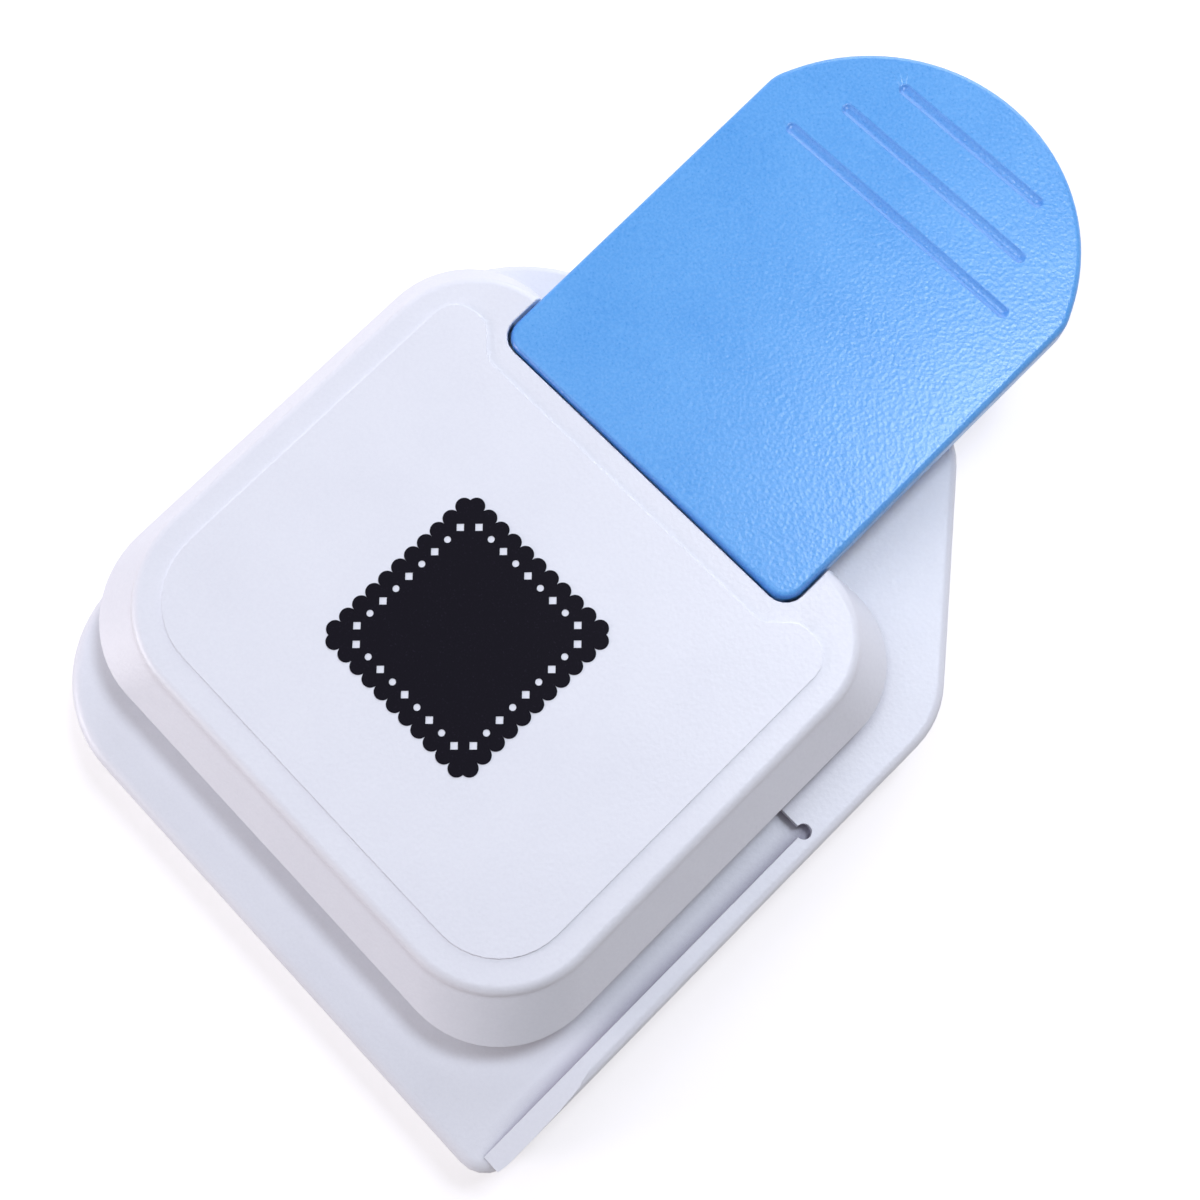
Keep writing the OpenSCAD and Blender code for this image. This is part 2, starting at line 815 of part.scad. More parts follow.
module return_spring_left() {
    color(steel_grey) translate([-post_x, post_y, 0]) return_spring();
}

module return_spring_right() {
    color(steel_grey) translate([post_x, post_y, 0]) return_spring();
}

// Fulcrum

bracket_foot = 10;
bracket_foot_t = 1.5;
bracket_half = 5;
rivet_r = 1.2;
rivet_head_r = 2.2;
rivet_head_t = 0.8;
rivet_at = [for (dy = [-3, 3]) [bracket_x + bracket_t + bracket_foot / 2, pivot_y + dy]];

module fulcrum_brackets() {
    lug_r = pivot_r + 1.8;
    color(steel_grey) both_sides() difference() {
        union() {
            box(bracket_x, bracket_x + bracket_foot + bracket_t,
                pivot_y - bracket_half, pivot_y + bracket_half, floor_z, floor_z + bracket_foot_t);
            translate([bracket_x, pivot_y, 0]) rotate([90, 0, 90]) linear_extrude(bracket_t) polygon([
                [-bracket_half, floor_z], [bracket_half, floor_z], [lug_r, pivot_z], [-lug_r, pivot_z]
            ]);
            translate([0, pivot_y, pivot_z]) axle(lug_r, bracket_x, bracket_x + bracket_t);
        }
        translate([0, pivot_y, pivot_z]) axle(pivot_r + seat, bracket_x - over, bracket_x + bracket_t + over);
        at_each(rivet_at) post(rivet_r + seat, floor_z - over, floor_z + bracket_foot_t + over);
    }
}

module bracket_rivets() {
    color(dark_steel) both_sides() at_each(rivet_at) {
        post(rivet_r, deck_z, floor_z + bracket_foot_t);
        post(rivet_head_r, floor_z + bracket_foot_t, floor_z + bracket_foot_t + rivet_head_t);
    }
}

module fulcrum_pin() {
    color(steel_grey) translate([0, pivot_y, pivot_z]) axle(pivot_r, -pin_half, pin_half);
}

module fulcrum_clips() {
    clip_x = bracket_x + bracket_t + pass / 2;
    color(dark_steel) both_sides() translate([0, pivot_y, pivot_z]) difference() {
        axle(pivot_r + 1.2, clip_x, clip_x + clip_t);
        axle(pivot_r + seat, clip_x - over, clip_x + clip_t + over);
    }
}

// Lever

module lever_fork() {
    color(steel_grey) on_lever() difference() {
        union() {
            translate([0, 0, -fork_t / 2]) linear_extrude(fork_t) polygon([
                [-prong_out, 0], [-prong_in, 0], [-prong_in, fork_plate_y], [prong_in, fork_plate_y],
                [prong_in, 0], [prong_out, 0], [prong_out, fork_end], [-prong_out, fork_end]
            ]);
            both_sides() axle(eye_r, prong_in, prong_out);
        }
        both_sides() axle(bush_r + seat, prong_in - over, prong_out + over);
        at_plate_screws(lever_screw_x, lever_screw_y) {
            post(lever_screw_r + seat, -fork_t, fork_t);
            post(lever_screw_head_r + seat, -fork_t, -fork_t / 2 + lever_screw_head_t);
        }
    }
}

module fork_bushes() {
    color(bush_cream) on_lever() both_sides() difference() {
        union() {
            axle(bush_r, prong_in, prong_out + seat);
            axle(bush_flange_r, prong_out + seat, prong_out + bush_flange_t);
        }
        axle(pivot_r + run, prong_in - over, prong_out + bush_flange_t + over);
    }
}

module presser_bar() {
    color(dark_steel) translate([0, presser_y, carriage_top + presser_gap + presser_r])
        axle(presser_r, -prong_in, prong_in);
}

module lever_grooves() {
    for (i = [0:len(groove_y) - 1])
        translate([0, handle_y + groove_y[i], handle_top + groove_r - groove_depth]) {
            axle(groove_r, -groove_half[i], groove_half[i]);
            both_sides() translate([groove_half[i], 0, 0]) sphere(groove_r);
        }
}

// Ribs under the handle's top, kept off the fork's plate
module handle_ribs() {
    rib_t = 1.5;
    rib_side = 6;
    rib_behind = [4, 18, 32];
    rib_x = prong_out + rib_side;
    intersection() {
        slab(handle_corners, lever_wall / 2, handle_low + handle_foot_edge, handle_top - lever_skin / 2);
        union() {
            both_sides() box(rib_x, rib_x + rib_t, handle_y, end_apex, handle_low, handle_top);
            for (d = rib_behind)
                box(-lever_half, lever_half, fork_end + d, fork_end + d + rib_t, handle_low, handle_top);
        }
    }
}

module lever_handle() {
    ceiling = handle_top - lever_skin;
    color(handle_blue) on_lever() difference() {
        union() {
            difference() {
                loft(concat(
                    [ring(handle_corners, handle_foot_edge, handle_low),
                     ring(handle_corners, 0, handle_low + handle_foot_edge)],
                    round_edge(handle_corners, handle_edge, handle_top)
                ));
                slab(handle_corners, lever_wall, handle_low - over, ceiling);
            }
            handle_ribs();
            at_plate_screws(lever_screw_x, lever_screw_y) post(boss_r, fork_t / 2, ceiling + lever_skin / 2);
        }
        box(-prong_out - pass, prong_out + pass, handle_y - over, handle_y + lever_wall + over,
            handle_low - over, fork_t / 2);
        at_plate_screws(lever_screw_x, lever_screw_y)
            post(lever_screw_r + seat, 0, ceiling + lever_skin / 2);
        lever_grooves();
    }
}

module lever_screws() {
    color(dark_steel) on_lever() at_plate_screws(lever_screw_x, lever_screw_y)
        screw(lever_screw_head_r, lever_screw_head_t, lever_screw_r, -fork_t / 2, handle_top - lever_skin);
}

// Moves a piece so that the origin lies under the whole object's middle
module placed() {
    translate([-centre_x, -centre_y, 0]) children();
}

placed() base_shell();
placed() rear_deck();
placed() bottom_plate();
placed() rubber_feet();
placed() bottom_screws();
placed() die_plate();
placed() die_screws();
placed() head_tray();
placed() guide_plate();
placed() guide_screws();
placed() head_shell();
placed() head_screws();
placed() tray_screws();
placed() printed_mark();
placed() guide_posts();
placed() post_clips();
placed() return_spring_left();
placed() return_spring_right();
placed() punch_carriage();
placed() carriage_bushes();
placed() petal_punches();
placed() eyelet_punches();
placed() bead_punches();
placed() fulcrum_brackets();
placed() bracket_rivets();
placed() fulcrum_pin();
placed() fulcrum_clips();
placed() lever_fork();
placed() fork_bushes();
placed() presser_bar();
placed() lever_handle();
placed() lever_screws();
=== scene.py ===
"""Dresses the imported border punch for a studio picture: pieces, materials, light and camera."""

import logging
import math
from abc import ABC, abstractmethod
from collections import defaultdict
from dataclasses import dataclass, field
from enum import Enum
from typing import Any, ClassVar

import bmesh
import bpy
from mathutils import Matrix, Vector


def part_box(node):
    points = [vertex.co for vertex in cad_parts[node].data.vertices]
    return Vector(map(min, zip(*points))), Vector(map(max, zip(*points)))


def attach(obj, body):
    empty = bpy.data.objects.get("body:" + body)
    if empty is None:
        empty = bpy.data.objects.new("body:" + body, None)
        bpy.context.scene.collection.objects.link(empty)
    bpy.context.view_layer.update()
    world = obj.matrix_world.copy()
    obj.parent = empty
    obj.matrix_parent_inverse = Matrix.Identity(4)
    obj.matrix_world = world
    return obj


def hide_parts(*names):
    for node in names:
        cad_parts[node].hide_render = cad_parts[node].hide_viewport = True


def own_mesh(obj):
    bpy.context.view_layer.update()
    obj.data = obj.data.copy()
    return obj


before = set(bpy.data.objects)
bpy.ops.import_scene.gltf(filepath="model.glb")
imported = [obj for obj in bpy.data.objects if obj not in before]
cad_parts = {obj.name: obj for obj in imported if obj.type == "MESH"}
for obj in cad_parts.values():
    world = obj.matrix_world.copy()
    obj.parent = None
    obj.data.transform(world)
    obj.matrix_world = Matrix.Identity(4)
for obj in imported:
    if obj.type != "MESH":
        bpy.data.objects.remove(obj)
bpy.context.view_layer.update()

LOG = logging.getLogger("border_punch")
MM = 0.001
WHITE = "#ffffff"
# Row coordinates start this far from the head's middle, on the floor
HEAD_SHIFT_MM = (4.15, 30.9606, 0.0)
# Points closer than this are one point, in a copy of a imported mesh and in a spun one
MERGE_MM = 0.002
SPUN_MERGE_MM = 0.001
# Triangles whose directions differ by less than this lie in one flat
FLAT_DEG = 0.1
# Name and value by which weighted normals know a face that keeps its own direction
FACE_STRENGTH = "__mod_weightednormals_faceweight"
STRONG_FACE = 16384
# Colour sockets of a mix node, whose names its other sockets share
MIX_A = 6
MIX_B = 7
MIX_RESULT = 2


class Body(Enum):
    """The rigid bodies that new pieces ride on."""

    BASE = "base"
    LEVER = "lever"


class Slot(Enum):
    """The record's material slots."""

    SHELL = "white_shell"
    LEVER = "blue_lever"
    STEEL = "steel"
    DARK = "dark_steel"
    RUBBER = "rubber"
    INK = "ink"
    BUSH = "bushing"


def linear(code: str) -> tuple[float, float, float, float]:
    """Turns an sRGB hex colour into linear values.

    Args:
        code: Colour as "#rrggbb".

    Returns:
        Linear red, green, blue and an alpha of 1.
    """
    parts = [int(code[i:i + 2], 16) / 255 for i in (1, 3, 5)]
    r, g, b = (c / 12.92 if c <= 0.04045 else ((c + 0.055) / 1.055) ** 2.4 for c in parts)
    return (r, g, b, 1.0)


def per_metre(size_mm: float) -> float:
    """Texture scale whose features are size_mm across on Object coordinates in metres."""
    return 1 / (size_mm * MM)


def add_node(tree: bpy.types.NodeTree, kind: str, inputs: dict[Any, Any] | None = None,
             **settings: Any) -> bpy.types.Node:
    """Adds a node with its settings and links.

    Args:
        tree: Node tree to add to.
        kind: Blender's name of the node type.
        inputs: Input socket name or number to a value, or to the output socket that feeds it.
        **settings: Attributes of the node itself.

    Returns:
        The new node.
    """
    made = tree.nodes.new(kind)
    for key, value in settings.items():
        setattr(made, key, value)
    for key, value in (inputs or {}).items():
        if isinstance(value, bpy.types.NodeSocket):
            tree.links.new(value, made.inputs[key])
        else:
            made.inputs[key].default_value = value
    return made


def new_material(name: str) -> tuple[bpy.types.Material, bpy.types.NodeTree, bpy.types.NodeSocket]:
    """Starts a material.

    Args:
        name: Name of the material.

    Returns:
        The material, its empty node tree and the Object coordinates to draw patterns on.
    """
    material = bpy.data.materials.new(name)
    material.use_nodes = True
    tree = material.node_tree
    tree.nodes.clear()
    return material, tree, add_node(tree, "ShaderNodeTexCoord").outputs["Object"]


@dataclass(frozen=True)
class MouldedPlastic:
    """Plastic from a spark-eroded mould: an even colour, and a pebbled skin that breaks up highlights."""

    name: str
    colour: str
    shade: str
    roughness: float
    # Pebble width, coarser than a mould leaves it, so that it shows in the picture
    grain_mm: float
    grain_depth_mm: float
    pit_ratio: float = 1.6
    cloud_mm: float = 18.0
    cloud_ends: tuple[float, float] = (0.35, 0.72)
    cloud_share: float = 0.35
    speckle: float = 0.25
    speck_ends: tuple[float, float] = (0.36, 0.66)
    gloss_spread: tuple[float, float] = (-0.06, 0.08)
    bump_strength: float = 0.6
    ior: float = 1.54
    # Painted shade: this colour is mixed in on upward faces below the height, in hollows and inner corners
    # that ambient occlusion finds within the reach
    dust_and_shade: str = "#8a8796"
    painted_shade_reach_mm: float = 3.0
    painted_shade_below_mm: float = 20.0
    painted_shade_samples: int = 6
    painted_shade_range: tuple[float, float] = (0.5, 0.97)
    upward_range: tuple[float, float] = (0.3, 0.7)

    def material(self) -> bpy.types.Material:
        """Builds the node material.

        Returns:
            The material, with colour clouds, speckle, painted shade in the hollows, uneven gloss and a
            pebbled bump.
        """
        material, tree, place = new_material(self.name)
        grain = add_node(tree, "ShaderNodeTexNoise", {
            "Vector": place, "Scale": per_metre(self.grain_mm), "Detail": 2.0,
            "Roughness": 0.6}).outputs["Fac"]
        pits = add_node(tree, "ShaderNodeTexVoronoi", {
            "Vector": place, "Scale": per_metre(self.grain_mm * self.pit_ratio), "Randomness": 1.0})
        # The clean colour, darkened by painted shade in the hollows and inner corners
        colour = add_node(tree, "ShaderNodeMix", {
            "Factor": self.painted_shade_share(tree, place), MIX_A: self.clean_colour(tree, place, grain),
            MIX_B: linear(self.dust_and_shade)}, data_type="RGBA")
        gloss = add_node(tree, "ShaderNodeMapRange", {
            "Value": grain, "To Min": self.roughness + self.gloss_spread[0],
            "To Max": self.roughness + self.gloss_spread[1]})
        relief = add_node(tree, "ShaderNodeMath", {0: grain, 1: pits.outputs["Distance"]}, operation="ADD")
        bump = add_node(tree, "ShaderNodeBump", {
            "Height": relief.outputs[0], "Strength": self.bump_strength,
            "Distance": self.grain_depth_mm * MM})
        shader = add_node(tree, "ShaderNodeBsdfPrincipled", {
            "Base Color": colour.outputs[MIX_RESULT], "Roughness": gloss.outputs[0], "IOR": self.ior,
            "Normal": bump.outputs[0]})
        add_node(tree, "ShaderNodeOutputMaterial", {"Surface": shader.outputs[0]})
        return material

    def clean_colour(self, tree: bpy.types.NodeTree, place: bpy.types.NodeSocket,
                     grain: bpy.types.NodeSocket) -> bpy.types.NodeSocket:
        """Mixes the plastic's two tones by soft clouds and fine specks.

        Args:
            tree: The material's node tree.
            place: Object coordinates.
            grain: The pebble's noise.

        Returns:
            The colour of the clean plastic.
        """
        clouds = add_node(tree, "ShaderNodeTexNoise", {
            "Vector": place, "Scale": per_metre(self.cloud_mm), "Detail": 3.0,
            "Roughness": 0.55}).outputs["Fac"]
        cloud = add_node(tree, "ShaderNodeMapRange", {
            "Value": clouds, "From Min": self.cloud_ends[0], "From Max": self.cloud_ends[1]})
        speck = add_node(tree, "ShaderNodeMapRange", {
            "Value": grain, "From Min": self.speck_ends[0], "From Max": self.speck_ends[1]})
        share = add_node(tree, "ShaderNodeMath", {0: speck.outputs[0], 1: self.speckle}, operation="MULTIPLY")
        both = add_node(tree, "ShaderNodeMath", {
            0: cloud.outputs[0], 1: self.cloud_share, 2: share.outputs[0]},
            operation="MULTIPLY_ADD", use_clamp=True)
        tones = add_node(tree, "ShaderNodeMix", {
            "Factor": both.outputs[0], MIX_A: linear(self.colour), MIX_B: linear(self.shade)},
            data_type="RGBA")
        return tones.outputs[MIX_RESULT]

    def painted_shade_share(self, tree: bpy.types.NodeTree, place: bpy.types.NodeSocket) -> bpy.types.NodeSocket:
        """Finds where shade is painted: upward faces below a height, in hollows and inner corners that
        ambient occlusion finds.

        Args:
            tree: The material's node tree.
            place: Object coordinates.

        Returns:
            A socket that is 1 where shade is painted and 0 on open faces.
        """
        reach = add_node(tree, "ShaderNodeAmbientOcclusion", {
            "Distance": self.painted_shade_reach_mm * MM}, samples=self.painted_shade_samples)
        hollow = add_node(tree, "ShaderNodeMapRange", {
            "Value": reach.outputs["AO"], "From Min": self.painted_shade_range[0], "From Max": self.painted_shade_range[1],
            "To Min": 1.0, "To Max": 0.0})
        height = add_node(tree, "ShaderNodeSeparateXYZ", {0: place})
        low = add_node(tree, "ShaderNodeMath", {
            0: height.outputs["Z"], 1: self.painted_shade_below_mm * MM}, operation="LESS_THAN")
        facing = add_node(tree, "ShaderNodeSeparateXYZ", {
            0: add_node(tree, "ShaderNodeNewGeometry").outputs["Normal"]})
        upward = add_node(tree, "ShaderNodeMapRange", {
            "Value": facing.outputs["Z"], "From Min": self.upward_range[0], "From Max": self.upward_range[1]})
        low_and_upward = add_node(tree, "ShaderNodeMath", {
            0: low.outputs[0], 1: upward.outputs[0]}, operation="MULTIPLY")
        dust_and_shade_amount = add_node(tree, "ShaderNodeMath", {
            0: hollow.outputs[0], 1: low_and_upward.outputs[0]}, operation="MULTIPLY")
        return dust_and_shade_amount.outputs[0]


@dataclass(frozen=True)
class GroundSteel:
    """Carbon steel, surface ground: straight fine scratches along one direction and a soft grey sheen."""

    name: str
    colour: str
    shade: str
    roughness: float
    # Width of a grinding line, coarser than a wheel leaves it, so that it shows in the picture
    scratch_mm: float = 0.25
    scratch_run: float = 0.02
    scratch_depth_mm: float = 0.01
    stain_mm: float = 9.0
    gloss_spread: tuple[float, float] = (-0.08, 0.12)
    bump_strength: float = 0.3

    def material(self) -> bpy.types.Material:
        """Builds the node material.

        Returns:
            The material, with grinding lines along X in colour, gloss and bump.
        """
        material, tree, place = new_material(self.name)
        stretched = add_node(tree, "ShaderNodeMapping", {
            "Vector": place, "Scale": (self.scratch_run, 1.0, 1.0)})
        lines = add_node(tree, "ShaderNodeTexNoise", {
            "Vector": stretched.outputs[0], "Scale": per_metre(self.scratch_mm), "Detail": 4.0,
            "Roughness": 0.65}).outputs["Fac"]
        stain = add_node(tree, "ShaderNodeTexNoise", {
            "Vector": place, "Scale": per_metre(self.stain_mm), "Detail": 3.0, "Roughness": 0.6})
        tone = add_node(tree, "ShaderNodeMath", {0: lines, 1: stain.outputs["Fac"]}, operation="MULTIPLY")
        colour = add_node(tree, "ShaderNodeMix", {
            "Factor": tone.outputs[0], MIX_A: linear(self.colour), MIX_B: linear(self.shade)},
            data_type="RGBA")
        gloss = add_node(tree, "ShaderNodeMapRange", {
            "Value": lines, "To Min": self.roughness + self.gloss_spread[0],
            "To Max": self.roughness + self.gloss_spread[1]})
        bump = add_node(tree, "ShaderNodeBump", {
            "Height": lines, "Strength": self.bump_strength, "Distance": self.scratch_depth_mm * MM})
        shader = add_node(tree, "ShaderNodeBsdfPrincipled", {
            "Base Color": colour.outputs[MIX_RESULT], "Metallic": 1.0, "Roughness": gloss.outputs[0],
            "Normal": bump.outputs[0]})
        add_node(tree, "ShaderNodeOutputMaterial", {"Surface": shader.outputs[0]})
        return material


@dataclass(frozen=True)
class MouldedRubber:
    """Black natural rubber, moulded: dull, with soft clouds of dust and no clear highlight."""

    name: str
    colour: str
    dust_and_shade: str
    roughness: float = 0.78
    cloud_mm: float = 3.0
    dust_ends: tuple[float, float] = (0.5, 0.85)
    grain_depth_mm: float = 0.05
    bump_strength: float = 0.4
    ior: float = 1.52

    def material(self) -> bpy.types.Material:
        """Builds the node material.

        Returns:
            The material, with dust clouds and a fine bump.
        """
        material, tree, place = new_material(self.name)
        clouds = add_node(tree, "ShaderNodeTexNoise", {
            "Vector": place, "Scale": per_metre(self.cloud_mm), "Detail": 5.0,
            "Roughness": 0.7}).outputs["Fac"]
        dust_and_shade_amount = add_node(tree, "ShaderNodeMapRange", {
            "Value": clouds, "From Min": self.dust_ends[0], "From Max": self.dust_ends[1]})
        colour = add_node(tree, "ShaderNodeMix", {
            "Factor": dust_and_shade_amount.outputs[0], MIX_A: linear(self.colour), MIX_B: linear(self.dust_and_shade)},
            data_type="RGBA")
        bump = add_node(tree, "ShaderNodeBump", {
            "Height": clouds, "Strength": self.bump_strength, "Distance": self.grain_depth_mm * MM})
        shader = add_node(tree, "ShaderNodeBsdfPrincipled", {
            "Base Color": colour.outputs[MIX_RESULT], "Roughness": self.roughness, "IOR": self.ior,
            "Normal": bump.outputs[0]})
        add_node(tree, "ShaderNodeOutputMaterial", {"Surface": shader.outputs[0]})
        return material


@dataclass(frozen=True)
class PadPrintInk:
    """Pad-printed ink: a near-black film that takes the plastic's pebble and shows paler pinholes."""

    name: str
    colour: str
    worn: str
    # Width of a pinhole, coarser than a pad leaves it, so that it shows in the picture
    pinhole_mm: float = 0.35
    pinhole_ends: tuple[float, float] = (0.6, 0.86)
    film_depth_mm: float = 0.03
    bump_strength: float = 0.4
    roughness: float = 0.5
    ior: float = 1.5
    sheen: float = 0.06

    def material(self) -> bpy.types.Material:
        """Builds the node material.

        Returns:
            The material, with paler pinholes and a fine bump.
        """
        material, tree, place = new_material(self.name)
        pores = add_node(tree, "ShaderNodeTexNoise", {
            "Vector": place, "Scale": per_metre(self.pinhole_mm), "Detail": 2.0,
            "Roughness": 0.6}).outputs["Fac"]
        worn = add_node(tree, "ShaderNodeMapRange", {
            "Value": pores, "From Min": self.pinhole_ends[0], "From Max": self.pinhole_ends[1]})
        colour = add_node(tree, "ShaderNodeMix", {
            "Factor": worn.outputs[0], MIX_A: linear(self.colour), MIX_B: linear(self.worn)},
            data_type="RGBA")
        bump = add_node(tree, "ShaderNodeBump", {
            "Height": pores, "Strength": self.bump_strength, "Distance": self.film_depth_mm * MM})
        shader = add_node(tree, "ShaderNodeBsdfPrincipled", {
            "Base Color": colour.outputs[MIX_RESULT], "Roughness": self.roughness, "IOR": self.ior,
            "Specular IOR Level": self.sheen, "Normal": bump.outputs[0]})
        add_node(tree, "ShaderNodeOutputMaterial", {"Surface": shader.outputs[0]})
        return material


Finish = MouldedPlastic | GroundSteel | MouldedRubber | PadPrintInk

FINISHES: dict[Slot, Finish] = {
    # White ABS with a cool cast: the pebble softens its highlights to a satin haze, and a painted grey shade
    # darkens its hollows and inner corners below 20 mm
    Slot.SHELL: MouldedPlastic("white_abs_moulded", colour="#ebebf1", shade="#e2e2e9", roughness=0.42,
                               grain_mm=0.55, grain_depth_mm=0.045),
    # Sky-blue ABS: a deeper pebble and more specks make the lever grainy, and a painted deep-blue shade
    # darkens its shallow grooves and inner corners
    Slot.LEVER: MouldedPlastic("blue_abs_moulded", colour="#4a9ae3", shade="#66adee", roughness=0.29,
                               grain_mm=0.5, grain_depth_mm=0.06, speckle=0.6, dust_and_shade="#0a4fc0",
                               painted_shade_reach_mm=4.0, painted_shade_below_mm=60.0, painted_shade_range=(0.74, 1.0)),
    # Ground tool steel of plates, posts and punches: a grey sheen drawn out along the scratches
    Slot.STEEL: GroundSteel("tool_steel_ground", colour="#b9bcc0", shade="#8f9398", roughness=0.34),
    # Black-oiled steel of carriage, screws and clips: dark, with a dull metallic edge
    Slot.DARK: GroundSteel("steel_black_oiled", colour="#5a5e63", shade="#3c3f43", roughness=0.42),
    # Moulded rubber of the feet: dull black with a little dust
    Slot.RUBBER: MouldedRubber("rubber_moulded", colour="#2b2c2f", dust_and_shade="#55565a"),
    # Pad-printed ink of the mark: near black, with hardly any sheen
    Slot.INK: PadPrintInk("ink_pad_printed", colour="#0d0a14", worn="#26222f"),
    # Natural acetal of the bearing bushes: creamy and slightly waxy
    Slot.BUSH: MouldedPlastic("acetal_moulded", colour="#e3d9b8", shade="#cfc39c", roughness=0.36,
                              grain_mm=0.5, grain_depth_mm=0.01, cloud_mm=6.0),
}


class Finishes:
    """Makes each material once and puts it on pieces."""

    def __init__(self) -> None:
        """Starts with no material made."""
        self.made: dict[Slot, bpy.types.Material] = {}

    def put(self, piece: bpy.types.Object, slot: Slot) -> None:
        """Gives a piece the one material of a slot.

        Args:
            piece: Object to dress.
            slot: The record's slot that the piece belongs to.
        """
        if slot not in self.made:
            self.made[slot] = FINISHES[slot].material()
        piece.data.materials.clear()
        piece.data.materials.append(self.made[slot])

    def put_node(self, node: str, slot: Slot) -> None:
        """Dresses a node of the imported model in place."""
        self.put(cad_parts[node], slot)


def new_piece(name: str, bm: bmesh.types.BMesh, body: Body, sharp_deg: float = 32.0,
              flat_mm2: float = 300.0) -> bpy.types.Object:
    """Turns a finished bmesh into a piece that rides on a body.

    Args:
        name: Name of the piece.
        bm: Mesh in row coordinates; it is freed.
        body: Body to ride on.
        sharp_deg: Angle past which an edge stays sharp.
        flat_mm2: Area from which a flat face keeps its own normal up to the rounded edges around it.

    Returns:
        The new object, smooth-shaded, at the origin.
    """
    mark_flats(bm, flat_mm2 * MM * MM)
    mesh = bpy.data.meshes.new(name)
    bm.to_mesh(mesh)
    bm.free()
    mesh.shade_smooth()
    mesh.set_sharp_from_angle(angle=math.radians(sharp_deg))
    piece = bpy.data.objects.new(name, mesh)
    bpy.context.scene.collection.objects.link(piece)
    even = piece.modifiers.new("even_normals", "WEIGHTED_NORMAL")
    even.keep_sharp = True
    even.use_face_influence = True
    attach(piece, body.value)
    LOG.info("%s: %d faces on %s", name, len(mesh.polygons), body.value)
    return piece


def mark_flats(bm: bmesh.types.BMesh, least: float, normal_digits: int = 3, height_digits: int = 1) -> None:
    """Marks the faces of large flat areas as strong for the weighted normals.

    Args:
        bm: Mesh to mark.
        least: Least area of a flat, in square metres.
        normal_digits: Digits in which the directions of a flat's faces agree.
        height_digits: Digits in which their heights in millimetres agree.
    """
    strength = bm.faces.layers.int.new(FACE_STRENGTH)
    flats: dict[tuple[float, ...], list[bmesh.types.BMFace]] = defaultdict(list)
    for face in bm.faces:
        face.normal_update()
        height = face.normal.dot(face.verts[0].co) / MM
        direction = (round(c, normal_digits) for c in face.normal)
        flats[(*direction, round(height, height_digits))].append(face)
    for faces in flats.values():
        if sum(face.calc_area() for face in faces) > least:
            for face in faces:
                face[strength] = STRONG_FACE


@dataclass(frozen=True)
class Softening:
    """Rounding of a moulding's crisp edges between two heights."""

    low_mm: float
    high_mm: float
    width_mm: float
    least_angle_deg: float = 40.0
    segments: int = 3

    def soften(self, bm: bmesh.types.BMesh) -> None:
        """Rounds the convex edges between the two heights."""
        edges = [edge for edge in bm.edges if self.wants(edge)]
        bmesh.ops.bevel(bm, geom=edges, offset=self.width_mm * MM, offset_type="OFFSET", affect="EDGES",
                        segments=self.segments, profile=0.5, material=-1, clamp_overlap=True)

    def wants(self, edge: bmesh.types.BMEdge) -> bool:
        """True for a crisp convex edge with both ends between the two heights."""
        return (all(self.low_mm < v.co.z / MM < self.high_mm for v in edge.verts)
                and len(edge.link_faces) == 2 and edge.is_convex
                and edge.calc_face_angle(0.0) > math.radians(self.least_angle_deg))


def refined(node: str, softenings: tuple[Softening, ...] = ()) -> bmesh.types.BMesh:
    """Copies a node's mesh, joins its triangles and softens its edges.

    Args:
        node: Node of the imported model.
        softenings: Bands of height in which crisp edges are rounded.

    Returns:
        A new bmesh in row coordinates.
    """
    bm = bmesh.new()
    bm.from_mesh(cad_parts[node].data)
    bmesh.ops.remove_doubles(bm, verts=bm.verts, dist=MERGE_MM * MM)
    bmesh.ops.join_triangles(bm, faces=bm.faces, angle_face_threshold=math.radians(FLAT_DEG),
                             angle_shape_threshold=math.pi)
    for softening in softenings:
        softening.soften(bm)
    bmesh.ops.dissolve_degenerate(bm, dist=MERGE_MM * MM, edges=bm.edges)
    return bm


def spun(bm: bmesh.types.BMesh, profile_mm: tuple[tuple[float, float], ...], centre: Vector,
         steps: int) -> None:
    """Turns a profile about an upright axis into a closed body.

    Args:
        bm: Mesh to add to.
        profile_mm: Radius and height of each profile point, from the axis round to the axis.
        centre: Foot of the axis in row coordinates.
        steps: Steps of the full turn.
    """
    points = [bm.verts.new(centre + Vector((r, 0.0, z)) * MM) for r, z in profile_mm]
    edges = [bm.edges.new(pair) for pair in zip(points, points[1:])]
    bmesh.ops.spin(bm, geom=points + edges, cent=centre, axis=(0, 0, 1), angle=2 * math.pi,
                   steps=steps, use_merge=True)
    bmesh.ops.remove_doubles(bm, verts=bm.verts, dist=SPUN_MERGE_MM * MM)
    bmesh.ops.recalc_face_normals(bm, faces=bm.faces)


def row_mm(x: float, y: float, z: float = 0.0) -> Vector:
    """Point in row metres for a place in millimetres from the head's middle."""
    return (Vector((x, y, z)) - Vector(HEAD_SHIFT_MM)) * MM


